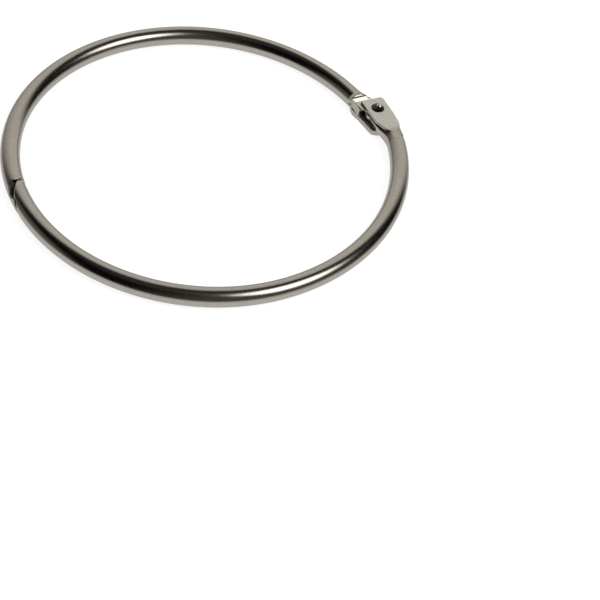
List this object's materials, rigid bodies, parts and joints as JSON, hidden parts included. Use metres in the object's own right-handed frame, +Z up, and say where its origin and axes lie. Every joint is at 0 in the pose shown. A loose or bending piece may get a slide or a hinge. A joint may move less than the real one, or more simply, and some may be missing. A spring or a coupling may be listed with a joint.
{
  "type": "binder ring",
  "caption": "Hinged loose-leaf binder ring: two round-wire halves on a riveted leaf hinge, with hooked ends that snap together.",
  "frame": {"origin": "centre of the closed ring, in the wire's mid-plane", "axes": "+Z up through the ring's hole, out of the side that shows the rivet's head; +X from the centre to the rivet; +Y towards the half that carries the tongue"},
  "size_m": [0.087, 0.0844, 0.0047],
  "materials": {
    "nickel_wire": "polished nickel plate",
    "nickel_rivet": "polished nickel plate, peened"
  },
  "bodies": {
    "fork_half": {"fork_half_ring": "nickel_wire", "hinge_rivet": "nickel_rivet"},
    "tongue_half": {"tongue_half_ring": "nickel_wire"}
  },
  "joints": [
    {"name": "ring_hinge", "type": "hinge", "parent": "fork_half", "child": "tongue_half", "pos_m": [0.042, 0, 0], "axis": [0, 0, -1], "range_deg": [0, 30]}
  ]
}
